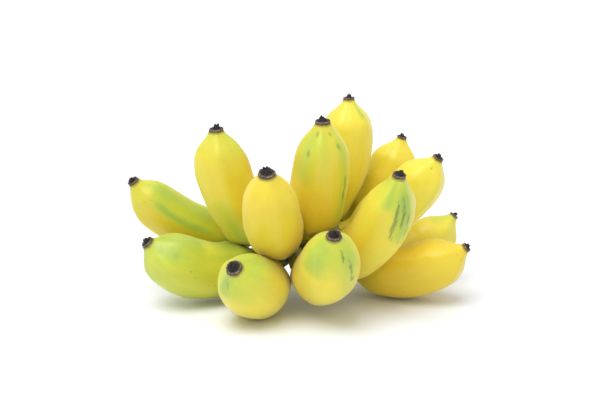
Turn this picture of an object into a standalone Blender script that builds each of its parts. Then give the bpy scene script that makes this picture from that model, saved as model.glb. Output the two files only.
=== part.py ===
"""A hand of short, plump dessert bananas, lying on the bellies of its lower row.

Two rows of bananas fan round one crown, the pad that was cut from the plant's stalk. Each banana is a
curved, softly five-sided fruit on a short stalk, and ends in the dried remains of its flower.

Metres, +Z up. The hand faces -Y, and the origin is on the table under the middle of its bounding box.
"""

import math
from collections import namedtuple

import bmesh
import bpy
import numpy as np
from mathutils import Vector

MM = 0.001
FIT_GAP = 0.3 * MM  # between pieces that touch

# One banana, from its stalk at the crown to its blossom end.
RIDGES = 5
RIDGE_HEIGHT = 0.018  # as a share of the radius
RINGS = 17
SIDES = 16
CLOSER_ENDS = 0.075  # how much closer together the rings are towards both ends
STALK_RADIUS = 5.2 * MM
BLOSSOM_RADIUS = 4.6 * MM
# How full the fruit is, from the end of its stalk to its blossom end: share of the way, share of the girth.
FULLNESS = ((0.0, 0.04), (0.06, 0.30), (0.12, 0.56), (0.21, 0.79), (0.34, 0.93), (0.50, 1.0), (0.60, 0.99),
            (0.70, 0.95), (0.79, 0.85), (0.86, 0.67), (0.92, 0.41), (0.965, 0.16), (1.0, 0.0))

# Where each banana grows, in millimetres, measured from a spot on the table in front of the crown.
# seat: the middle of its stalk's end at the crown. tip: its blossom end. belly: how far the middle of the
# banana bows out from the straight line between those two. stalk: the length of its stalk.
Banana = namedtuple("Banana", "name seat tip belly stalk girth")
BANANAS = (
    Banana("upper_1", (-28, 27, 32), (-104, 4, 70.5), (-5, 2, -12), 10, 30.5),
    Banana("upper_2", (-22, 12, 32), (-51, -10, 106), (-5.5, -3, -6), 8, 35),
    Banana("upper_3", (-11, 1, 35), (-19, -64, 91), (-0.5, -6, -11), 8, 34.5),
    Banana("upper_4", (4, 3, 37), (14, -31, 115), (3, -6, -2), 8, 34.5),
    Banana("upper_5", (14, 16, 43), (31, 22, 119.5), (5, 1, -3), 8, 34),
    Banana("upper_6", (26, 9, 37), (85.5, -6, 87.5), (4, 0, -7), 8, 32),
    Banana("upper_7", (28, 24, 36), (66, 40, 91), (5, 5, -6), 8, 31),
    Banana("lower_1", (-27, 10, 20), (-93, -26, 39), (-1.5, -3, -12), 8, 37.5),
    Banana("lower_2", (-17, 0, 18), (-38, -76, 37.5), (2.3, -2, -13.2), 8, 36.8),
    Banana("lower_3", (1, -4, 19), (20, -76, 57), (4.2, -5, -13), 8, 36),
    Banana("lower_4", (17, 0, 24), (59, -49, 86.5), (6, -4, -14), 8, 33),
    Banana("lower_5", (28, 9, 17), (103.5, -14, 32.5), (1, -1, -11.2), 8, 33.5),
    Banana("lower_6", (30, 25, 21), (101, 44, 38), (2, 2, -15), 8, 31),
)

# The crown: a cushion that is cut flat at the back, with a stub for each banana.
CROWN_MIDDLE = (0, 21, 29)  # in millimetres, from the same spot on the table
CROWN_HALF_SIZE = (22, 16, 11)
CROWN_CUT = 32 * MM  # behind that spot
CROWN_SIDES = 24
STUB_SIDES = 11
STUB_RINGS = 5
STUB_ROOT_RADIUS = 6.2 * MM
STUB_BEND = 4 * MM  # how far before its end a stub points the banana's way
STUB_ROOT_SPREAD = 0.4  # of the seat's distance from the middle of the crown

# The dried flower on each tip: (radius, height) in millimetres, from the fruit outwards.
FLOWER_PROFILE = ((4.7, 0.0), (5.0, 1.3), (2.9, 2.3), (2.1, 3.9), (0.9, 4.6))
FLOWER_SIDES = 9

PEEL_COLOUR = (0.86, 0.72, 0.08, 1.0)
CROWN_COLOUR = (0.42, 0.45, 0.14, 1.0)
FLOWER_COLOUR = (0.05, 0.035, 0.03, 1.0)


def clear_scene():
    for old in list(bpy.data.objects):
        bpy.data.objects.remove(old)


def smooth_through(points, at):
    """Values of a smooth curve through points, a table of (place, value), at the places asked for."""
    x, y = np.array(points, float).T
    slopes = np.gradient(y, x)
    i = np.clip(np.searchsorted(x, at, side="right") - 1, 0, len(x) - 2)
    width = x[i + 1] - x[i]
    t = (at - x[i]) / width
    rise = t * t * (3 - 2 * t)
    lean = t * (1 - t) * width * (slopes[i] * (1 - t) - slopes[i + 1] * t)
    return y[i] + (y[i + 1] - y[i]) * rise + lean


def centreline(banana, shares):
    """(points, directions, right-hand sides) along the banana, at shares of its length from the crown."""
    seat, tip, belly = (np.array(place) * MM for place in (banana.seat, banana.tip, banana.belly))
    bend = (seat + tip) / 2 + 2 * belly
    t = np.linspace(0, 1, 201)[:, None]
    path = seat * (1 - t) ** 2 + 2 * bend * t * (1 - t) + tip * t**2
    way = (bend - seat) * (1 - t) + (tip - bend) * t
    travelled = np.append(0, np.cumsum(np.linalg.norm(np.diff(path, axis=0), axis=1)))
    at = shares * travelled[-1]
    points, ways = (
        np.stack([np.interp(at, travelled, values[:, k]) for k in range(3)], axis=1) for values in (path, way)
    )
    ways /= np.linalg.norm(ways, axis=1)[:, None]
    side = np.cross(belly, tip - seat)
    sides = np.tile(side / np.linalg.norm(side), (len(ways), 1))
    return points, ways, sides


def length(banana):
    """The banana's length along its bend, in millimetres."""
    points, _, _ = centreline(banana, np.linspace(0, 1, 50))
    return np.linalg.norm(np.diff(points, axis=0), axis=1).sum() / MM


def radii(banana, shares):
    full = banana.girth * MM / 2
    ends = STALK_RADIUS + (BLOSSOM_RADIUS - STALK_RADIUS) * shares
    stalk = banana.stalk / length(banana)
    fruit = np.clip((shares - stalk) / (1 - stalk), 0, 1)
    return ends + (full - ends) * smooth_through(FULLNESS, fruit)


def ring_round(middle, way, side, radius, sides, ridge=0.0):
    """Points of a ring square to a direction, from the given side round by way of the top."""
    way = way / np.linalg.norm(way)
    right = side - way * side.dot(way)
    right = right / np.linalg.norm(right)
    up = np.cross(right, way)
    round_way = np.linspace(0, 2 * math.pi, sides, endpoint=False)
    reach = radius * (1 + ridge * np.sin(RIDGES * round_way))
    arms = np.outer(np.cos(round_way), right) + np.outer(np.sin(round_way), up)
    return middle + arms * reach[:, None]


def loft(name, rings):
    """A closed mesh through rings of points, with a flat cap on each end."""
    shape = bmesh.new()
    loops = [[shape.verts.new(p) for p in ring] for ring in rings]
    count = len(loops[0])
    for low, high in zip(loops, loops[1:]):
        for i in range(count):
            j = (i + 1) % count
            shape.faces.new((low[i], low[j], high[j], high[i]))
    shape.faces.new(reversed(loops[0]))
    shape.faces.new(loops[-1])
    bmesh.ops.recalc_face_normals(shape, faces=shape.faces)
    mesh = bpy.data.meshes.new(name)
    shape.to_mesh(mesh)
    shape.free()
    return mesh


def banana_mesh(banana):
    even = np.linspace(0, 1, RINGS)
    shares = even - CLOSER_ENDS * np.sin(2 * math.pi * even)
    rings = [
        ring_round(point, way, side, radius, SIDES, RIDGE_HEIGHT)
        for point, way, side, radius in zip(*centreline(banana, shares), radii(banana, shares))
    ]
    return loft("banana_" + banana.name, rings)


def flower_mesh():
    """The dried flower, standing up from its own origin."""
    rings = []
    for radius, height in FLOWER_PROFILE:
        round_way = np.linspace(0, 2 * math.pi, FLOWER_SIDES, endpoint=False)
        level = np.full(FLOWER_SIDES, height)
        rings.append(np.stack((radius * np.cos(round_way), radius * np.sin(round_way), level), axis=1) * MM)
    return loft("flower_end", rings)


def cushion_mesh():
    """The body of the crown, cut flat at the back."""
    shape = bmesh.new()
    bmesh.ops.create_uvsphere(shape, u_segments=CROWN_SIDES, v_segments=CROWN_SIDES // 2, radius=MM)
    bmesh.ops.scale(shape, vec=CROWN_HALF_SIZE, verts=shape.verts)
    bmesh.ops.translate(shape, vec=Vector(CROWN_MIDDLE) * MM, verts=shape.verts)
    everything = shape.verts[:] + shape.edges[:] + shape.faces[:]
    cut = bmesh.ops.bisect_plane(
        shape, geom=everything, plane_co=(0, CROWN_CUT, 0), plane_no=(0, 1, 0), clear_outer=True
    )
    rim = [item for item in cut["geom_cut"] if isinstance(item, bmesh.types.BMEdge)]
    bmesh.ops.holes_fill(shape, edges=rim)
    bmesh.ops.recalc_face_normals(shape, faces=shape.faces)
    mesh = bpy.data.meshes.new("crown")
    shape.to_mesh(mesh)
    shape.free()
    return mesh


def stub_mesh(banana):
    """A tapered stub that grows out of the cushion and ends just short of the banana's stalk."""
    _, (way,), (side,) = centreline(banana, np.zeros(1))
    middle = np.array(CROWN_MIDDLE) * MM
    end = np.array(banana.seat) * MM - way * FIT_GAP
    root = middle + (end - middle) * STUB_ROOT_SPREAD
    bend = end - way * STUB_BEND
    rings = []
    for share in np.linspace(0, 1, STUB_RINGS):
        point = root * (1 - share) ** 2 + 2 * bend * share * (1 - share) + end * share**2
        heading = 2 * (bend - root) * (1 - share) + 2 * (end - bend) * share
        radius = STUB_ROOT_RADIUS + (STALK_RADIUS - STUB_ROOT_RADIUS) * share
        rings.append(ring_round(point, heading, side, radius, STUB_SIDES))
    return loft("stub_" + banana.name, rings)


def material(name, colour, roughness):
    made = bpy.data.materials.new(name)
    made.use_nodes = True
    shader = made.node_tree.nodes["Principled BSDF"]
    shader.inputs["Base Color"].default_value = colour
    shader.inputs["Roughness"].default_value = roughness
    return made


def add_piece(name, mesh, finish):
    piece = bpy.data.objects.new(name, mesh)
    if finish.name not in mesh.materials:
        mesh.materials.append(finish)
    bpy.context.scene.collection.objects.link(piece)
    return piece


def add_crown(finish):
    """The cushion joined with its stubs."""
    crown = add_piece("crown", cushion_mesh(), finish)
    stubs = bpy.data.collections.new("crown_stubs")
    stubs.hide_render = True
    bpy.context.scene.collection.children.link(stubs)
    for banana in BANANAS:
        stub = bpy.data.objects.new("stub_" + banana.name, stub_mesh(banana))
        stub.hide_render = True
        stub.display_type = "WIRE"
        stub.parent = crown
        stubs.objects.link(stub)
    join = crown.modifiers.new("join stubs", "BOOLEAN")
    join.operation = "UNION"
    join.solver = "EXACT"
    join.operand_type = "COLLECTION"
    join.collection = stubs
    return crown


def add_flower(banana, mesh, finish):
    (tip,), (way,), _ = centreline(banana, np.ones(1))
    flower = add_piece("flower_end_" + banana.name, mesh, finish)
    flower.location = Vector(tip + way * FIT_GAP)
    flower.rotation_mode = "QUATERNION"
    flower.rotation_quaternion = Vector(way).to_track_quat("Z", "Y")
    return flower


def centre_on_origin(pieces):
    """Moves the pieces together until they stand on the table, centred on the origin."""
    bpy.context.view_layer.update()
    corners = np.array([piece.matrix_world @ v.co for piece in pieces for v in piece.data.vertices])
    low, high = corners.min(axis=0), corners.max(axis=0)
    middle = Vector(((low[0] + high[0]) / 2, (low[1] + high[1]) / 2, low[2]))
    for piece in pieces:
        piece.location -= middle


def main():
    clear_scene()
    peel = material("banana peel", PEEL_COLOUR, 0.45)
    flower_skin = material("dried flower", FLOWER_COLOUR, 0.85)
    crown_skin = material("crown skin", CROWN_COLOUR, 0.6)
    flower = flower_mesh()
    pieces = [add_crown(crown_skin)]
    for banana in BANANAS:
        pieces.append(add_piece("banana_" + banana.name, banana_mesh(banana), peel))
        pieces.append(add_flower(banana, flower, flower_skin))
    centre_on_origin(pieces)


main()
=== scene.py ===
"""The looks of a hand of short, plump dessert bananas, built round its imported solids.

Each banana is lofted along the same curve as its solid, with soft ridges and its own look, and several
are fuller near the crown, where the fruit press together. The crown is smoothed into one fused pad, and each
tip carries a shrivelled flower. Metres, +Z up. The hand faces -Y.
"""

import math
from collections import namedtuple

import bmesh
import bpy
import numpy as np
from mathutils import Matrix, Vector


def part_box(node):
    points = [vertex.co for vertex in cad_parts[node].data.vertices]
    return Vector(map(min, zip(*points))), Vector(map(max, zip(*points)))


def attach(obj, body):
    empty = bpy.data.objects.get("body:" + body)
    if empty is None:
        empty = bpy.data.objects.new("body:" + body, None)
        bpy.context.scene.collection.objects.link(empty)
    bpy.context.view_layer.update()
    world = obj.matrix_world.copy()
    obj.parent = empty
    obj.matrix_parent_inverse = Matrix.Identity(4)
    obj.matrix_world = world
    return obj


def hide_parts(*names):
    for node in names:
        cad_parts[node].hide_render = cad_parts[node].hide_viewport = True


MM = 0.001

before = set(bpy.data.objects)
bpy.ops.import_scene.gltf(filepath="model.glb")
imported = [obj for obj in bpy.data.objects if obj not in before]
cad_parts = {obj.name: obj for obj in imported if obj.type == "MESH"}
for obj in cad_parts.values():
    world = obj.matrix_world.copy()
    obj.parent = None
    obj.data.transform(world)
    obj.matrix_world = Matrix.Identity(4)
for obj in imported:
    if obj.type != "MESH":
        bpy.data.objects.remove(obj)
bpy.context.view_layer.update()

# ---------------------------------------------------------------- the bananas

# Where each banana grows, in millimetres, measured from a spot on the table in front of the crown.
# seat: the middle of its stalk's end at the crown. tip: its blossom end. belly: how far the middle of the
# banana bows out from the straight line between those two. stalk: the length of its stalk.
Banana = namedtuple("Banana", "name seat tip belly stalk girth")
BANANAS = (
    Banana("upper_1", (-28, 27, 32), (-104, 4, 70.5), (-5, 2, -12), 10, 30.5),
    Banana("upper_2", (-22, 12, 32), (-51, -10, 106), (-5.5, -3, -6), 8, 35),
    Banana("upper_3", (-11, 1, 35), (-19, -64, 91), (-0.5, -6, -11), 8, 34.5),
    Banana("upper_4", (4, 3, 37), (14, -31, 115), (3, -6, -2), 8, 34.5),
    Banana("upper_5", (14, 16, 43), (31, 22, 119.5), (5, 1, -3), 8, 34),
    Banana("upper_6", (26, 9, 37), (85.5, -6, 87.5), (4, 0, -7), 8, 32),
    Banana("upper_7", (28, 24, 36), (66, 40, 91), (5, 5, -6), 8, 31),
    Banana("lower_1", (-27, 10, 20), (-93, -26, 39), (-1.5, -3, -12), 8, 37.5),
    Banana("lower_2", (-17, 0, 18), (-38, -76, 37.5), (2.3, -2, -13.2), 8, 36.8),
    Banana("lower_3", (1, -4, 19), (20, -76, 57), (4.2, -5, -13), 8, 36),
    Banana("lower_4", (17, 0, 24), (59, -49, 86.5), (6, -4, -14), 8, 33),
    Banana("lower_5", (28, 9, 17), (103.5, -14, 32.5), (1, -1, -11.2), 8, 33.5),
    Banana("lower_6", (30, 25, 21), (101, 44, 38), (2, 2, -15), 8, 31),
)

RIDGES = 5
RINGS = 150
SIDES = 100
CLOSER_ENDS = 0.06  # how much closer together the rings are towards both ends
STALK_RADIUS = 5.2 * MM
BLOSSOM_RADIUS = 4.6 * MM
ROOT_DEPTH = 0.02  # how far the stalk runs on into the crown, as a share of the banana's length
# How full the fruit is, from the end of its stalk to its blossom end: share of the way, share of the girth.
FULLNESS = ((0.0, 0.04), (0.06, 0.30), (0.12, 0.56), (0.21, 0.79), (0.34, 0.93), (0.50, 1.0), (0.60, 0.99),
            (0.70, 0.95), (0.79, 0.85), (0.86, 0.67), (0.92, 0.41), (0.965, 0.16), (1.0, 0.0))
# How far the ridges stand out, as a share of the radius: they fade where the fruit is full.
RIDGE_HEIGHT = ((0.0, 0.030), (0.12, 0.065), (0.30, 0.040), (0.50, 0.026), (0.75, 0.030), (0.92, 0.055),
                (1.0, 0.03))
RIDGE_SHARPNESS = 0.25
# Places and reaches along the banana are shares of its length.
PROFILE_SOFTNESS = 0.022  # how far a kink in the profile is smoothed out
PROFILE_OVERHANG = 0.1  # how far past both ends the smoothing looks
PROFILE_STEPS = 481
PATH_STEPS = 201
LENGTH_STEPS = 50
SMOOTHING_STEPS = 24  # to each side, out of those
SWELL_FADES = (-0.01, 0.08)  # where the swell comes in, at the crown
TAPER_PLACE = 0.92
TAPER_REACH = 0.075
CAP_FADES = (0.88, 1.0)  # where the fruit narrows to its dried flower

# Unevenness of the peel.
DENT_SIZE = 26 * MM
DENT_DEPTH = 0.30 * MM
RIPPLE_SIZE = 9 * MM
RIPPLE_DEPTH = 0.07 * MM
RIPPLE_SEED = 100  # the dents' seeds are the bananas' numbers, from 0
UNEVEN_RADII = (5 * MM, 12 * MM)  # where the peel is slimmer than the first, it is even
MARK_STRETCH = 1.6  # how much longer than wide a mark is
PEEL_STEP = (0.31, 0.17, 0.23)  # from one banana to the next in the pattern of their peel
# Where the peel turns green, towards the tip, and stops being green, away from the neck.
TIP_GREEN = (0.62, 1.0)
NECK_GREEN = (0.02, 0.52)

# How each banana looks.
# ridge_turn: the degrees that its ridges are turned by. ridges: how marked they are.
# swell: how many millimetres fuller than its solid it is, round which share of its length, and how far.
# cap: the size of its dried flower and of the tip under it. taper: how much slimmer it is near the tip.
# gold: how golden its yellow is. all_over, tip and neck: how green it is there.
# bands of green and streaks of dark green: (angle round the fruit, half width, first share of its length,
# last share, strength). marks: (angle, share of the length, half width in millimetres).
# Angles are in degrees, from the banana's right-hand side, 0, over the inside of its bend, 90.
Look = namedtuple("Look", "ridge_turn ridges swell cap taper gold all_over tip neck bands streaks marks")
LOOKS = {
    "upper_1": Look(0, 0.9, (6, 0.12, 0.12), 0.72, 0.03, 0.65, 0.18, 0.25, 0.55,
                    ((160, 9, 0.30, 0.90, 0.75), (118, 36, 0.25, 1.0, 0.55)),
                    ((161, 3, 0.42, 0.80, 0.25),), ()),
    "upper_2": Look(-25, 1.1, (6.5, 0.12, 0.12), 0.88, 0.05, 0.35, 0.14, 0.30, 0.40,
                    ((118, 22, 0.74, 1.0, 0.35), (235, 24, 0.12, 0.60, 0.40)), (), ((118, 0.88, 0.9),)),
    "upper_3": Look(15, 0.35, (0.5, 0.4, 0.25), 0.98, 0, 0.45, 0.02, 0.00, 0.20,
                    ((300, 20, 0.2, 0.6, 0.12),), (), ()),
    "upper_4": Look(0, 1.0, (2.6, 0.26, 0.17), 0.90, 0.05, 0.60, 0.08, 0.30, 0.30,
                    ((340, 32, 0.55, 1.0, 0.40), (243, 13, 0.20, 1.0, 0.50), (290, 12, 0.6, 1.0, 0.20)),
                    ((240, 4, 0.36, 0.70, 0.65), (250, 6, 0.82, 0.94, 0.35)),
                    ((333, 0.82, 1.6), (250, 0.87, 1.3), (322, 0.94, 1.2), (262, 0.94, 0.9))),
    "upper_5": Look(20, 0.9, (6.5, 0.10, 0.11), 0.72, 0.13, 0.1, 0.00, 0.15, 0.20,
                    ((330, 10, 0.84, 1.0, 0.60), (322, 6, 0.70, 0.90, 0.25)),
                    ((324, 6, 0.86, 0.98, 0.5),), ()),
    "upper_6": Look(10, 0.9, (0, 0.15, 0.1), 0.68, 0.08, 0.1, 0.00, 0.12, 0.20,
                    ((318, 9, 0.55, 0.95, 0.25),), (), ((5, 0.93, 0.6), (319, 0.78, 0.5))),
    "upper_7": Look(30, 0.9, (3, 0.17, 0.1), 0.62, 0.13, 0.1, 0.00, 0.12, 0.25,
                    ((70, 5, 0.76, 0.95, 0.35),), ((70, 3, 0.82, 0.91, 0.3),), ()),
    "lower_1": Look(-20, 0.8, (5.5, 0.12, 0.12), 0.80, 0.04, 0.0, 0.52, 0.15, 0.25,
                    ((128, 34, 0.55, 1.0, 0.42), (172, 16, 0.78, 1.0, 0.35)), (), ((150, 0.45, 0.5),)),
    "lower_2": Look(25, 0.5, (0.9, 0.5, 0.3), 0.92, 0, 0.1, 0.03, 0.60, 0.20,
                    ((128, 40, 0.62, 1.0, 0.38), (318, 20, 0.84, 1.0, 0.35)),
                    ((305, 8, 0.90, 0.97, 0.5),), ()),
    "lower_3": Look(-12, 0.35, (0.9, 0.5, 0.3), 0.86, 0, 0.1, 0.00, 0.60, 0.20,
                    ((345, 36, 0.72, 1.0, 0.45), (250, 24, 0.55, 0.98, 0.45)),
                    ((246, 8, 0.70, 0.92, 0.70), (262, 7, 0.86, 0.97, 0.60), (268, 5, 0.64, 0.76, 0.5)), ()),
    "lower_4": Look(-27, 0.9, (3, 0.18, 0.13), 0.80, 0.1, 0.15, 0.00, 0.55, 0.15,
                    ((284, 25, 0.58, 1.0, 0.75), (335, 14, 0.80, 1.0, 0.35)),
                    ((306, 6, 0.60, 0.93, 1.0), (289, 4.5, 0.70, 0.94, 0.85), (276, 4, 0.64, 0.88, 0.6),
                     (340, 4, 0.88, 0.95, 0.5)),
                    ((96, 0.74, 1.3), (285, 0.64, 0.7))),
    "lower_5": Look(5, 0.8, (0, 0.15, 0.1), 0.62, 0.12, 0.85, 0.00, 0.08, 0.20,
                    ((300, 7, 0.62, 0.88, 0.20),), ((300, 3, 0.70, 0.84, 0.2),), ()),
    "lower_6": Look(0, 0.8, (0, 0.15, 0.1), 0.58, 0.1, 0.2, 0.00, 0.35, 0.30,
                    ((75, 24, 0.80, 1.0, 0.25),), (), ()),
}

# ---------------------------------------------------------------- the dried flowers

# (radius, height) in millimetres, from the fruit outwards: a thin collar, a hollow, and the style's stub.
FLOWER_PROFILE = ((4.2, -0.9), (4.5, -0.2), (4.9, 0.3), (5.1, 0.8), (4.9, 1.25), (4.3, 1.35), (3.7, 1.0),
                  (3.0, 0.9), (2.5, 1.4), (2.2, 2.2), (1.9, 3.0), (1.5, 3.7), (0.7, 3.9), (0.3, 3.3))
FLOWER_SIDES = 72
COLLAR_RADIUS = 5.0
COLLAR_WIDTH = 0.8
COLLAR_START = 0.4  # the height from which the collar is crumpled
STUB_TATTERS = (2.4, 3.8)  # the heights between which the stub turns ragged
STUB_LEAN = 0.06  # sideways, times the square of the height
# Waves round the flower: (how many, how high), and how far they move it outwards, along it and in its wear.
COLLAR_LOBES = ((2, 0.25), (3, 0.25), (5, 0.28), (8, 0.20), (13, 0.12), (19, 0.08))
LOBES_OUT = 0.45
LOBES_WEAR = 0.35
CRUMPLES = ((3, 0.30), (5, 0.30), (9, 0.24), (16, 0.14))
CRUMPLES_OUT = 0.03
CRUMPLES_ALONG = 0.5
TATTERS = ((3, 0.55), (5, 0.45), (7, 0.25))
TATTERS_OUT = 0.10
TATTERS_ALONG = 0.8
WRINKLE_SIZE = 1.3 * MM
WRINKLE_DEPTH = 0.13 * MM
FLOWER_SEED = 500
WRINKLE_SEED = 300
FLOWER_STEP = (0.07, 0.05, 0.03)  # from one flower to the next in the pattern of their fibres

# ---------------------------------------------------------------- colours

PEEL_YELLOW = (0.83, 0.70, 0.050)
PEEL_GOLD = (0.79, 0.56, 0.026)
PEEL_LIME = (0.52, 0.60, 0.052)
PEEL_GREEN = (0.27, 0.43, 0.080)
PEEL_DARK_GREEN = (0.10, 0.175, 0.030)
BRUISE_BROWN = (0.10, 0.050, 0.015)
FLOWER_BROWN = (0.010, 0.006, 0.004)
FLOWER_TAN = (0.34, 0.23, 0.135)
COLLAR_OLIVE = (0.16, 0.12, 0.035)
CROWN_GREEN = (0.30, 0.33, 0.065)
CROWN_OLIVE = (0.20, 0.19, 0.045)
CUT_TAN = (0.42, 0.30, 0.13)
CUT_BROWN = (0.14, 0.075, 0.030)


# ---------------------------------------------------------------- curves and noise


def smooth_through(points, at):
    """Values of a smooth curve through points, a table of (place, value), at the places asked for."""
    x, y = np.array(points, float).T
    slopes = np.gradient(y, x)
    i = np.clip(np.searchsorted(x, at, side="right") - 1, 0, len(x) - 2)
    width = x[i + 1] - x[i]
    t = np.clip((at - x[i]) / width, 0, 1)
    rise = t * t * (3 - 2 * t)
    lean = t * (1 - t) * width * (slopes[i] * (1 - t) - slopes[i + 1] * t)
    return y[i] + (y[i + 1] - y[i]) * rise + lean


def smooth_step(values, start, end):
    t = np.clip((values - start) / (end - start), 0, 1)
    return t * t * (3 - 2 * t)


def bumps(points, wavelength, seed):
    """Soft, even bumps, mostly between -1 and 1, from waves that cross in all directions."""
    random = np.random.default_rng(seed)
    total = np.zeros(len(points))
    waves = 14
    for _ in range(waves):
        way = random.normal(size=3)
        way *= 2 * math.pi / wavelength * random.uniform(0.6, 1.5) / np.linalg.norm(way)
        total += np.sin(points @ way + random.uniform(0, 2 * math.pi))
    return total / math.sqrt(waves)


def waves_round(random, angles, waves):
    """The sum of sine waves round a circle, from (count, height) pairs, each turned by a random amount."""
    turned = [size * np.sin(count * angles + random.uniform(0, 2 * math.pi)) for count, size in waves]
    return sum(turned)[None, :]


# ---------------------------------------------------------------- meshes


def mesh_from_rings(name, rings):
    """A closed mesh through an array of rings (ring, point, xyz), with flat ends."""
    count, sides, _ = rings.shape
    mesh = bpy.data.meshes.new(name)
    index = np.arange(count * sides).reshape(count, sides)
    after = np.roll(index, -1, axis=1)
    quads = np.stack((index[:-1], after[:-1], after[1:], index[1:]), axis=-1).reshape(-1, 4)
    faces = [tuple(quad) for quad in quads.tolist()]
    faces.append(tuple(index[0, ::-1].tolist()))
    faces.append(tuple(index[-1].tolist()))
    mesh.from_pydata(rings.reshape(-1, 3).tolist(), [], faces)
    face_out(mesh)
    return mesh


def face_out(mesh):
    shape = bmesh.new()
    shape.from_mesh(mesh)
    bmesh.ops.recalc_face_normals(shape, faces=shape.faces)
    shape.to_mesh(mesh)
    shape.free()
    mesh.polygons.foreach_set("use_smooth", [True] * len(mesh.polygons))
    mesh.update()


def keep_number(mesh, name, values):
    kept = mesh.attributes.new(name, "FLOAT", "POINT")
    kept.data.foreach_set("value", values.astype(np.float32).ravel())


def keep_vector(mesh, name, values):
    kept = mesh.attributes.new(name, "FLOAT_VECTOR", "POINT")
    kept.data.foreach_set("vector", values.astype(np.float32).ravel())


def add_piece(name, mesh, finish, node):
    """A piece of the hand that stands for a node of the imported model."""
    piece = bpy.data.objects.new(name, mesh)
    bpy.context.scene.collection.objects.link(piece)
    mesh.materials.clear()
    mesh.materials.append(finish)
    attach(piece, "root")
    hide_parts(node)
    return piece


# ---------------------------------------------------------------- bananas


def along_path(at, travelled, rows):
    """Rows of numbers at the distances asked for, from rows at the distances travelled."""
    return np.stack([np.interp(at, travelled, column) for column in rows.T], axis=1)


def centreline(banana, shares):
    """(points, directions, right-hand sides) along the banana, at shares of its length from the crown."""
    seat, tip, belly = (np.array(place) * MM for place in (banana.seat, banana.tip, banana.belly))
    bend = (seat + tip) / 2 + 2 * belly
    t = np.linspace(0, 1, PATH_STEPS)[:, None]
    path = seat * (1 - t) ** 2 + 2 * bend * t * (1 - t) + tip * t**2
    way = (bend - seat) * (1 - t) + (tip - bend) * t
    travelled = np.append(0, np.cumsum(np.linalg.norm(np.diff(path, axis=0), axis=1)))
    at = shares * travelled[-1]
    points = along_path(at, travelled, path)
    ways = along_path(at, travelled, way)
    ways /= np.linalg.norm(ways, axis=1)[:, None]
    points += np.minimum(at, 0)[:, None] * ways[0]
    side = np.cross(belly, tip - seat)
    sides = np.tile(side / np.linalg.norm(side), (len(ways), 1))
    return points, ways, sides


def length(banana):
    """The banana's length along its bend, in millimetres."""
    points, _, _ = centreline(banana, np.linspace(0, 1, LENGTH_STEPS))
    return np.linalg.norm(np.diff(points, axis=0), axis=1).sum() / MM


def radii(banana, shares):
    full = banana.girth * MM / 2
    ends = STALK_RADIUS + (BLOSSOM_RADIUS - STALK_RADIUS) * shares
    stalk = banana.stalk / length(banana)
    fruit = np.clip((shares - stalk) / (1 - stalk), 0, 1)
    return ends + (full - ends) * smooth_through(FULLNESS, fruit)


def soft_radii(banana, shares):
    """The radii with the kink between stalk and fruit smoothed out."""
    fine = np.linspace(-PROFILE_OVERHANG, 1 + PROFILE_OVERHANG, PROFILE_STEPS)
    away = np.arange(-SMOOTHING_STEPS, SMOOTHING_STEPS + 1) * (fine[1] - fine[0]) / PROFILE_SOFTNESS
    weights = np.exp(-(away**2) / 2)
    even = np.pad(radii(banana, np.clip(fine, 0, 1)), SMOOTHING_STEPS, mode="edge")
    return np.interp(shares, fine, np.convolve(even, weights / weights.sum(), mode="valid"))


def band_mask(angle, share, band):
    middle, half_width, first, last, amount = band
    away = (angle - middle + 180) % 360 - 180
    soft_end = 0.25 * (last - first)
    window = smooth_step(share, first, first + soft_end) * (1 - smooth_step(share, last - soft_end, last))
    return amount * np.exp(-((away / half_width) ** 2)) * window


def greenness(look, angle, share):
    """The share of green left in the peel, round the fruit and along it."""
    green = look.all_over + look.tip * smooth_step(share, *TIP_GREEN) ** 1.5
    green = green + look.neck * (1 - smooth_step(share, *NECK_GREEN))
    for band in look.bands:
        green = green + band_mask(angle, share, band)
    return np.clip(green, 0, 1)


def peel_reach(banana, look, shares, round_way):
    """How far the peel stands from the centreline, round each ring."""
    turned = RIDGES * (round_way - math.radians(look.ridge_turn))
    ridge = np.sin(turned) - RIDGE_SHARPNESS * np.cos(2 * turned)
    height = look.ridges * smooth_through(RIDGE_HEIGHT, np.clip(shares, 0, 1))
    extra, middle, spread = look.swell
    swell = extra * MM * np.exp(-(((shares - middle) / spread) ** 2)) * smooth_step(shares, *SWELL_FADES)
    slimmer = 1 - look.taper * np.exp(-(((shares - TAPER_PLACE) / TAPER_REACH) ** 2))
    slimmer *= 1 - (1 - look.cap) * smooth_step(shares, *CAP_FADES)
    profile = soft_radii(banana, shares) * slimmer + swell
    return profile[:, None] * (1 + height[:, None] * ridge[None, :])


def unevenness(number, straight, reach):
    """The shallow dents and ripples of the peel, which leave the stalk and the tip even."""
    dents = bumps(straight, DENT_SIZE, number) * DENT_DEPTH
    ripples = bumps(straight, RIPPLE_SIZE, RIPPLE_SEED + number) * RIPPLE_DEPTH
    return (dents + ripples).reshape(reach.shape) * smooth_step(reach, *UNEVEN_RADII)


def mark_mask(banana, look, angle, share, reach):
    """How much of each point is covered by the small dark marks."""
    round_fruit = reach * 2 * math.pi / 360
    marks = np.zeros(len(share))
    for mark_angle, mark_share, half_width in look.marks:
        across = ((angle - mark_angle + 180) % 360 - 180) * round_fruit
        lengthwise = (share - mark_share) * length(banana) * MM / MARK_STRETCH
        marks = np.maximum(marks, np.exp(-(across**2 + lengthwise**2) / (half_width * MM) ** 2))
    return marks


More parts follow.
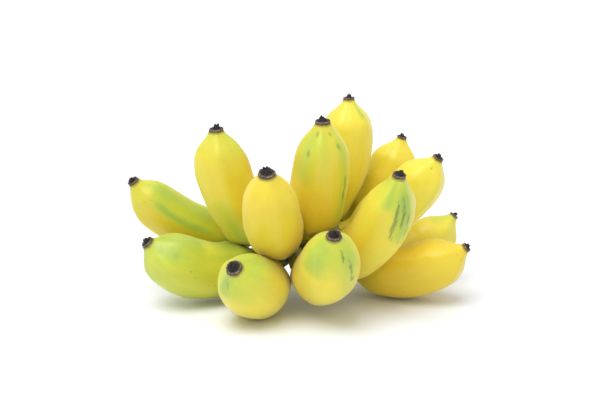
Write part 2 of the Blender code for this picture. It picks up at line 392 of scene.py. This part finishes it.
def banana_piece(number, banana, offset, finish):
    look = LOOKS[banana.name]
    even = np.linspace(0, 1, RINGS)
    shares = (1 + ROOT_DEPTH) * (even - CLOSER_ENDS * np.sin(2 * math.pi * even)) - ROOT_DEPTH
    points, ways, sides = centreline(banana, shares)
    ups = np.cross(sides, ways)
    round_way = np.linspace(0, 2 * math.pi, SIDES, endpoint=False)
    cosine, sine = np.cos(round_way)[None, :], np.sin(round_way)[None, :]
    reach = peel_reach(banana, look, shares, round_way)
    lengthways = np.broadcast_to((shares * length(banana) * MM)[:, None], reach.shape)
    straight = np.stack((reach * cosine, reach * sine, lengthways), axis=-1).reshape(-1, 3)
    reach = reach + unevenness(number, straight, reach)
    arms = cosine[..., None] * sides[:, None, :] + sine[..., None] * ups[:, None, :]
    mesh = mesh_from_rings("peel_" + banana.name, points[:, None, :] + arms * reach[..., None] + offset)

    angle = np.broadcast_to(np.degrees(round_way)[None, :], reach.shape).ravel()
    share = np.broadcast_to(shares[:, None], reach.shape).ravel()
    streaks = sum((band_mask(angle, share, band) for band in look.streaks), np.zeros(len(share)))
    keep_vector(mesh, "straight", straight + np.array(PEEL_STEP) * number)
    keep_number(mesh, "along", share)
    keep_number(mesh, "green", greenness(look, angle, share))
    keep_number(mesh, "streaks", np.clip(streaks, 0, 1))
    keep_number(mesh, "gold", np.full(len(share), look.gold))
    keep_number(mesh, "marks", mark_mask(banana, look, angle, share, reach.ravel()))
    return add_piece("peel_" + banana.name, mesh, finish, "banana_" + banana.name)


def hand_offset():
    """How far the hand's own origin lies from the table's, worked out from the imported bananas."""
    gaps = []
    steps = 60
    for banana in BANANAS:
        shares = np.linspace(0, 1, steps)
        points, ways, sides = centreline(banana, shares)
        ups = np.cross(sides, ways)
        turns = np.linspace(0, 2 * math.pi, steps, endpoint=False)
        arms = np.cos(turns)[None, :, None] * sides[:, None] + np.sin(turns)[None, :, None] * ups[:, None]
        surface = (points[:, None] + arms * radii(banana, shares)[:, None, None]).reshape(-1, 3)
        middle = (surface.min(axis=0) + surface.max(axis=0)) / 2
        low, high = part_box("banana_" + banana.name)
        gaps.append(np.array((low + high) / 2) - middle)
    return np.mean(gaps, axis=0)


# ---------------------------------------------------------------- dried flowers


def flower_piece(number, banana, offset, finish):
    """The shrivelled flower: a crumpled collar round a hollow, with the style's ragged stub inside."""
    (tip,), (way,), (side,) = centreline(banana, np.ones(1))
    up = np.cross(side, way)
    random = np.random.default_rng(FLOWER_SEED + number)
    corners = np.arange(len(FLOWER_PROFILE))
    halfway = np.linspace(0, len(FLOWER_PROFILE) - 1, 2 * len(FLOWER_PROFILE) - 1)
    radius, height = (np.interp(halfway, corners, values) for values in np.array(FLOWER_PROFILE).T)
    round_way = np.linspace(0, 2 * math.pi, FLOWER_SIDES, endpoint=False)
    rim = np.exp(-(((radius - COLLAR_RADIUS) / COLLAR_WIDTH) ** 2))[:, None]
    spiky = smooth_step(height, *STUB_TATTERS)[:, None]
    lobes = waves_round(random, round_way, COLLAR_LOBES)
    crumple = waves_round(random, round_way, CRUMPLES)
    tatters = waves_round(random, round_way, TATTERS)
    reach = radius[:, None] * (1 + CRUMPLES_OUT * crumple + TATTERS_OUT * spiky * tatters)
    reach = reach + LOBES_OUT * rim * lobes
    crumpled = rim * (height[:, None] > COLLAR_START)
    lift = height[:, None] + crumpled * CRUMPLES_ALONG * crumple + TATTERS_ALONG * spiky * tatters
    lean = np.clip(height, 0, None)[:, None] ** 2 * STUB_LEAN
    lean_way = random.uniform(0, 2 * math.pi)
    across = reach * np.cos(round_way) + lean * math.cos(lean_way)
    upright = reach * np.sin(round_way) + lean * math.sin(lean_way)
    flat = np.stack((across, upright, lift), axis=-1).reshape(-1, 3) * MM
    outward = flat / np.linalg.norm(flat, axis=1)[:, None]
    flat = flat + outward * (bumps(flat, WRINKLE_SIZE, WRINKLE_SEED + number) * WRINKLE_DEPTH)[:, None]
    local = (flat * LOOKS[banana.name].cap).reshape(*reach.shape, 3)
    rings = tip + offset + local[..., 0:1] * side + local[..., 1:2] * up + local[..., 2:3] * way
    name = "dried_flower_" + banana.name
    mesh = mesh_from_rings(name, rings)
    keep_vector(mesh, "straight", flat + np.array(FLOWER_STEP) * number)
    collar = np.broadcast_to(rim * (1 + LOBES_WEAR * lobes), reach.shape)
    keep_number(mesh, "collar", collar.ravel())
    return add_piece(name, mesh, finish, "flower_end_" + banana.name)


# ---------------------------------------------------------------- crown

CROWN_VOXEL = 0.8 * MM
CROWN_SMOOTHING = 9
CROWN_FULLNESS = 1.8 * MM  # makes good what the smoothing takes off, and fills in between the stalks
# The dry cut, at the back of the crown.
CUT_DEPTHS = (1.6 * MM, 0.5 * MM)  # in front of the crown's rearmost point: where the cut starts and is full
CUT_TURNS = (0.5, 0.9)  # how far the surface faces back, 1 being straight back
CUT_HALF_WIDTHS = (19 * MM, 21 * MM)
CUT_SUNK = 0.3 * MM
# Unevenness of the crown: (size, depth, seed).
FURROWS = (3.2 * MM, 0.16 * MM, 40)
LUMPS = (10 * MM, 0.35 * MM, 41)
CUT_FIBRES = (1.3 * MM, 0.16 * MM, 42)


def crown_piece(finish):
    """The solid crown, with its stubs fused into one fibrous pad and a dry cut face at the back."""
    rough = bpy.data.objects.new("rough crown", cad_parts["crown"].data.copy())
    bpy.context.scene.collection.objects.link(rough)
    fuse = rough.modifiers.new("fuse", "REMESH")
    fuse.mode = "VOXEL"
    fuse.voxel_size = CROWN_VOXEL
    soften = rough.modifiers.new("soften", "SMOOTH")
    soften.factor = 0.5
    soften.iterations = CROWN_SMOOTHING
    graph = bpy.context.evaluated_depsgraph_get()
    mesh = bpy.data.meshes.new_from_object(rough.evaluated_get(graph))
    bpy.data.objects.remove(rough)
    mesh.name = "crown"
    points = np.array([v.co for v in mesh.vertices])
    normals = np.array([v.normal for v in mesh.vertices])
    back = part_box("crown")[1].y
    middle = np.mean(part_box("crown"), axis=0)[0]
    cut = smooth_step(points[:, 1], back - CUT_DEPTHS[0], back - CUT_DEPTHS[1])
    cut *= smooth_step(normals[:, 1], *CUT_TURNS)
    cut *= 1 - smooth_step(np.abs(points[:, 0] - middle), *CUT_HALF_WIDTHS)
    skin = CROWN_FULLNESS
    for size, depth, seed in (FURROWS, LUMPS):
        skin = skin + bumps(points, size, seed) * depth
    fibre_size, fibre_depth, fibre_seed = CUT_FIBRES
    sunk = bumps(points, fibre_size, fibre_seed) * fibre_depth - CUT_SUNK
    points = points + normals * (skin * (1 - cut) + sunk * cut)[:, None]
    mesh.vertices.foreach_set("co", points.ravel())
    keep_vector(mesh, "straight", points)
    keep_number(mesh, "cut", cut)
    face_out(mesh)
    return add_piece("crown_pad", mesh, finish, "crown")


# ---------------------------------------------------------------- shader building


def connect(tree, source, target):
    """Links a socket, or sets a plain value, where a colour gets its full opacity."""
    if isinstance(source, bpy.types.NodeSocket):
        tree.links.new(source, target)
    elif isinstance(source, tuple):
        target.default_value = (*source, 1.0)
    else:
        target.default_value = source


def math_node(tree, operation, a, b=0.0):
    node = tree.nodes.new("ShaderNodeMath")
    node.operation = operation
    connect(tree, a, node.inputs[0])
    connect(tree, b, node.inputs[1])
    return node.outputs[0]


def map_range(tree, value, low, high, to_low=0.0, to_high=1.0):
    node = tree.nodes.new("ShaderNodeMapRange")
    node.interpolation_type = "SMOOTHSTEP"
    for number, source in enumerate((value, low, high, to_low, to_high)):
        connect(tree, source, node.inputs[number])
    return node.outputs[0]


def mix_colour(tree, share, first, second):
    node = tree.nodes.new("ShaderNodeMix")
    node.data_type = "RGBA"
    connect(tree, share, node.inputs["Factor"])
    connect(tree, first, node.inputs[6])
    connect(tree, second, node.inputs[7])
    return node.outputs[2]


def noise(tree, place, scale, detail=3.0, roughness=0.55):
    node = tree.nodes.new("ShaderNodeTexNoise")
    connect(tree, place, node.inputs["Vector"])
    connect(tree, scale, node.inputs["Scale"])
    node.inputs["Detail"].default_value = detail
    node.inputs["Roughness"].default_value = roughness
    return node.outputs["Fac"]


def stretched(tree, place, squeeze):
    """Coordinates squeezed along an axis, so that a noise in them is drawn out along it."""
    node = tree.nodes.new("ShaderNodeMapping")
    connect(tree, place, node.inputs["Vector"])
    node.inputs["Scale"].default_value = squeeze
    return node.outputs[0]


def attribute(tree, name, output="Fac"):
    node = tree.nodes.new("ShaderNodeAttribute")
    node.attribute_name = name
    return node.outputs[output]


def new_group(name, inputs, outputs):
    group = bpy.data.node_groups.new(name, "ShaderNodeTree")
    for kind, direction in ((inputs, "INPUT"), (outputs, "OUTPUT")):
        for label, socket_type, *start in kind:
            made = group.interface.new_socket(name=label, in_out=direction, socket_type=socket_type)
            if start:
                made.default_value = start[0]
    return group, group.nodes.new("NodeGroupInput"), group.nodes.new("NodeGroupOutput")


def use_group(tree, group, **values):
    node = tree.nodes.new("ShaderNodeGroup")
    node.node_tree = group
    for label, value in values.items():
        connect(tree, value, node.inputs[label.replace("_", " ")])
    return node.outputs


def fibre_group():
    """Fine strands along the third axis of the coordinates."""
    group, given, result = new_group(
        "plant fibres",
        (("Place", "NodeSocketVector"), ("Strands", "NodeSocketFloat", 900.0)),
        (("Height", "NodeSocketFloat"),),
    )
    drawn_out = stretched(group, given.outputs["Place"], (1, 1, 0.07))
    fine = noise(group, drawn_out, given.outputs["Strands"])
    group.links.new(fine, result.inputs["Height"])
    return group


def freckle_group():
    """Scattered small marks, each a soft-edged spot."""
    group, given, result = new_group(
        "freckles",
        (
            ("Place", "NodeSocketVector"),
            ("Scale", "NodeSocketFloat", 300.0),
            ("Size", "NodeSocketFloat", 0.2),
        ),
        (("Mask", "NodeSocketFloat"),),
    )
    cells = group.nodes.new("ShaderNodeTexVoronoi")
    group.links.new(given.outputs["Place"], cells.inputs["Vector"])
    group.links.new(given.outputs["Scale"], cells.inputs["Scale"])
    sparse = map_range(group, noise(group, given.outputs["Place"], 90.0), 0.52, 0.66)
    half = math_node(group, "MULTIPLY", given.outputs["Size"], 0.4)
    spot = map_range(group, cells.outputs["Distance"], given.outputs["Size"], half)
    group.links.new(math_node(group, "MULTIPLY", spot, sparse), result.inputs["Mask"])
    return group


def new_material(name):
    made = bpy.data.materials.new(name)
    made.use_nodes = True
    return made, made.node_tree, made.node_tree.nodes["Principled BSDF"]


def add_bump(tree, shader, height, distance, strength=1.0):
    node = tree.nodes.new("ShaderNodeBump")
    node.inputs["Distance"].default_value = distance
    node.inputs["Strength"].default_value = strength
    tree.links.new(height, node.inputs["Height"])
    tree.links.new(node.outputs["Normal"], shader.inputs["Normal"])


def ripe_colour(tree, place):
    """Yellow that is more golden in cloudy patches."""
    cloudy = map_range(tree, noise(tree, stretched(tree, place, (1, 1, 0.45)), 55.0), 0.35, 0.68)
    golden = math_node(tree, "ADD", attribute(tree, "gold"), math_node(tree, "MULTIPLY", cloudy, 0.45))
    return mix_colour(tree, map_range(tree, golden, 0.0, 1.4), PEEL_YELLOW, PEEL_GOLD)


def add_green(tree, place, strands, colour):
    """The green that is left, in uneven patches and in fine strands."""
    patches = map_range(tree, noise(tree, stretched(tree, place, (1, 1, 0.3)), 95.0), 0.30, 0.72, 0.82, 1.18)
    green = math_node(tree, "MULTIPLY", attribute(tree, "green"), patches)
    colour = mix_colour(tree, map_range(tree, green, 0.0, 0.75), colour, PEEL_LIME)
    colour = mix_colour(tree, map_range(tree, green, 0.50, 1.25, 0.0, 0.80), colour, PEEL_GREEN)
    return mix_colour(tree, map_range(tree, strands, 0.45, 0.75, 0.0, 0.14), colour, PEEL_LIME)


def ragged_mask(tree, name, ragged, amount, low, high, certain):
    """A painted mask with a broken-up edge. It stays empty where nothing is painted."""
    painted = attribute(tree, name)
    broken = math_node(tree, "ADD", painted, math_node(tree, "MULTIPLY", ragged, amount))
    inside = map_range(tree, painted, 0.02, certain)
    return math_node(tree, "MULTIPLY", map_range(tree, broken, low, high), inside)


def add_blemishes(tree, place, freckles, colour):
    """Dark green streaks and marks, and small brown freckles."""
    broken = noise(tree, stretched(tree, place, (1, 1, 0.3)), 480.0, 4.0, 0.65)
    ragged = math_node(tree, "SUBTRACT", broken, 0.5)
    streaks = ragged_mask(tree, "streaks", ragged, 2.4, 0.35, 0.95, 0.25)
    colour = mix_colour(tree, math_node(tree, "MULTIPLY", streaks, 0.70), colour, PEEL_DARK_GREEN)
    marks = ragged_mask(tree, "marks", ragged, 0.8, 0.15, 1.0, 0.2)
    colour = mix_colour(tree, math_node(tree, "MULTIPLY", marks, 0.48), colour, PEEL_DARK_GREEN)
    spots = use_group(tree, freckles, Place=place, Scale=260.0, Size=0.16)["Mask"]
    return mix_colour(tree, math_node(tree, "MULTIPLY", spots, 0.45), colour, BRUISE_BROWN)


def add_tip_ring(tree, place, colour):
    """The brown edge of the peel round the dried flower."""
    uneven = math_node(tree, "MULTIPLY", noise(tree, place, 500.0), 0.014)
    edge = math_node(tree, "ADD", attribute(tree, "along"), uneven)
    colour = mix_colour(tree, map_range(tree, edge, 0.982, 1.004, 0.0, 0.8), colour, COLLAR_OLIVE)
    return mix_colour(tree, map_range(tree, edge, 1.000, 1.006), colour, BRUISE_BROWN)


def peel_material(fibres, freckles):
    """Ripe, waxy peel: golden yellow, with green left in it, streaks and small freckles."""
    made, tree, shader = new_material("banana peel")
    place = attribute(tree, "straight", "Vector")
    strands = use_group(tree, fibres, Place=place, Strands=700.0)["Height"]
    colour = add_green(tree, place, strands, ripe_colour(tree, place))
    colour = add_blemishes(tree, place, freckles, colour)
    tree.links.new(add_tip_ring(tree, place, colour), shader.inputs["Base Color"])

    matt = noise(tree, place, 260.0, 4.0)
    tree.links.new(map_range(tree, matt, 0.3, 0.7, 0.34, 0.48), shader.inputs["Roughness"])
    pores = math_node(tree, "MULTIPLY", noise(tree, place, 1400.0, 2.0), 0.3)
    height = math_node(tree, "ADD", math_node(tree, "MULTIPLY", strands, 0.7), pores)
    add_bump(tree, shader, height, 0.10 * MM, 0.55)
    shader.inputs["Sheen Weight"].default_value = 0.25
    shader.inputs["Sheen Roughness"].default_value = 0.45
    shader.inputs["Sheen Tint"].default_value = (0.97, 1.0, 0.80, 1)
    shader.inputs["Subsurface Weight"].default_value = 0.12
    shader.inputs["Subsurface Radius"].default_value = (1.0, 0.55, 0.12)
    shader.inputs["Subsurface Scale"].default_value = 3 * MM
    return made


def flower_material(fibres):
    """Dry, wrinkled flower: nearly black in its middle, with a worn, tan collar."""
    made, tree, shader = new_material("dried flower")
    place = attribute(tree, "straight", "Vector")
    strands = use_group(tree, fibres, Place=place, Strands=1500.0)["Height"]
    worn = map_range(tree, noise(tree, place, 900.0, 5.0, 0.65), 0.44, 0.68)
    pale = math_node(tree, "MULTIPLY", attribute(tree, "collar"), math_node(tree, "ADD", worn, 0.45))
    pale = math_node(tree, "ADD", pale, math_node(tree, "MULTIPLY", worn, 0.20))
    colour = mix_colour(tree, map_range(tree, pale, 0.0, 1.3), FLOWER_BROWN, FLOWER_TAN)
    tree.links.new(colour, shader.inputs["Base Color"])
    tree.links.new(map_range(tree, worn, 0.0, 1.0, 0.55, 0.85), shader.inputs["Roughness"])
    height = math_node(tree, "ADD", strands, noise(tree, place, 1600.0, 4.0))
    add_bump(tree, shader, height, 0.35 * MM, 0.8)
    return made


def crown_material(fibres, freckles):
    """Fibrous green-brown crown, with a dry cut face of pale fibres and brown sap."""
    made, tree, shader = new_material("crown skin")
    place = attribute(tree, "straight", "Vector")
    cut = attribute(tree, "cut")
    strands = use_group(tree, fibres, Place=place, Strands=1100.0)["Height"]
    mottled = map_range(tree, noise(tree, place, 120.0, 5.0), 0.35, 0.65)
    skin = mix_colour(tree, mottled, CROWN_GREEN, CROWN_OLIVE)
    spots = use_group(tree, freckles, Place=place, Scale=420.0, Size=0.26)["Mask"]
    skin = mix_colour(tree, math_node(tree, "MULTIPLY", spots, 0.7), skin, BRUISE_BROWN)
    pith = noise(tree, stretched(tree, place, (1, 0.2, 1)), 900.0, 5.0, 0.7)
    sap = map_range(tree, noise(tree, place, 75.0, 4.0), 0.42, 0.62)
    face = mix_colour(tree, map_range(tree, pith, 0.35, 0.65), CUT_TAN, CUT_BROWN)
    face = mix_colour(tree, math_node(tree, "MULTIPLY", sap, 0.6), face, CUT_BROWN)
    tree.links.new(mix_colour(tree, cut, skin, face), shader.inputs["Base Color"])
    tree.links.new(map_range(tree, cut, 0.0, 1.0, 0.5, 0.85), shader.inputs["Roughness"])
    add_bump(tree, shader, math_node(tree, "ADD", strands, pith), 0.25 * MM, 0.6)
    return made


# ---------------------------------------------------------------- stage

CAMERA_HEIGHT_ANGLE = 14  # degrees above level
CAMERA_DISTANCE = 1.0
CAMERA_LENS = 96  # mm
CAMERA_AIM = (0.0008, 0.0131, 0.0633)
SENSOR_WIDTH = 36  # mm
NEAREST_SEEN = 0.05
LIGHT_POWER = 2.0
LIGHT_SOFTNESS = 45  # degrees across
LIGHT_LEAN = (-0.25, 0.25)  # to the right and to the front, per unit of height
SKY_WHITE = (1.0, 1.0, 1.0, 1)
SKY_STRENGTH = 0.78
FLOOR_WHITE = (0.855, 0.875, 0.95, 1)
FLOOR_ROUGHNESS = 0.55
FLOOR_REACH = 6.0


def add_camera():
    tilt = math.radians(CAMERA_HEIGHT_ANGLE)
    back = Vector((0, -math.cos(tilt), math.sin(tilt)))
    data = bpy.data.cameras.new("camera")
    data.lens = CAMERA_LENS
    data.sensor_width = SENSOR_WIDTH
    data.clip_start = NEAREST_SEEN
    camera = bpy.data.objects.new("camera", data)
    camera.location = Vector(CAMERA_AIM) + back * CAMERA_DISTANCE
    camera.rotation_euler = back.to_track_quat("Z", "Y").to_euler()
    bpy.context.scene.collection.objects.link(camera)
    bpy.context.scene.camera = camera


def add_softbox():
    """A very soft light from overhead, a little to the left and the front."""
    data = bpy.data.lights.new("overhead softbox", "SUN")
    data.energy = LIGHT_POWER
    data.angle = math.radians(LIGHT_SOFTNESS)
    light = bpy.data.objects.new("overhead softbox", data)
    right, front = LIGHT_LEAN
    light.rotation_euler = Vector((right, -front, 1)).to_track_quat("Z", "Y").to_euler()
    bpy.context.scene.collection.objects.link(light)


def add_floor():
    mesh = bpy.data.meshes.new("floor")
    corners = [(x * FLOOR_REACH, y * FLOOR_REACH, 0) for x, y in ((-1, -1), (1, -1), (1, 1), (-1, 1))]
    mesh.from_pydata(corners, [], [(0, 1, 2, 3)])
    floor = bpy.data.objects.new("floor", mesh)
    bpy.context.scene.collection.objects.link(floor)
    made, _, shader = new_material("white table")
    shader.inputs["Base Color"].default_value = FLOOR_WHITE
    shader.inputs["Roughness"].default_value = FLOOR_ROUGHNESS
    mesh.materials.append(made)


def add_daylight():
    world = bpy.data.worlds.new("white studio")
    world.use_nodes = True
    sky = world.node_tree.nodes["Background"]
    sky.inputs["Color"].default_value = SKY_WHITE
    sky.inputs["Strength"].default_value = SKY_STRENGTH
    bpy.context.scene.world = world


def set_stage():
    add_camera()
    add_floor()
    add_daylight()
    add_softbox()
    bpy.context.scene.view_settings.view_transform = "Standard"


# ---------------------------------------------------------------- the hand


fibres = fibre_group()
freckles = freckle_group()
peel = peel_material(fibres, freckles)
flower_skin = flower_material(fibres)
offset = hand_offset()
for number, banana in enumerate(BANANAS):
    banana_piece(number, banana, offset, peel)
    flower_piece(number, banana, offset, flower_skin)
crown_piece(crown_material(fibres, freckles))
set_stage()
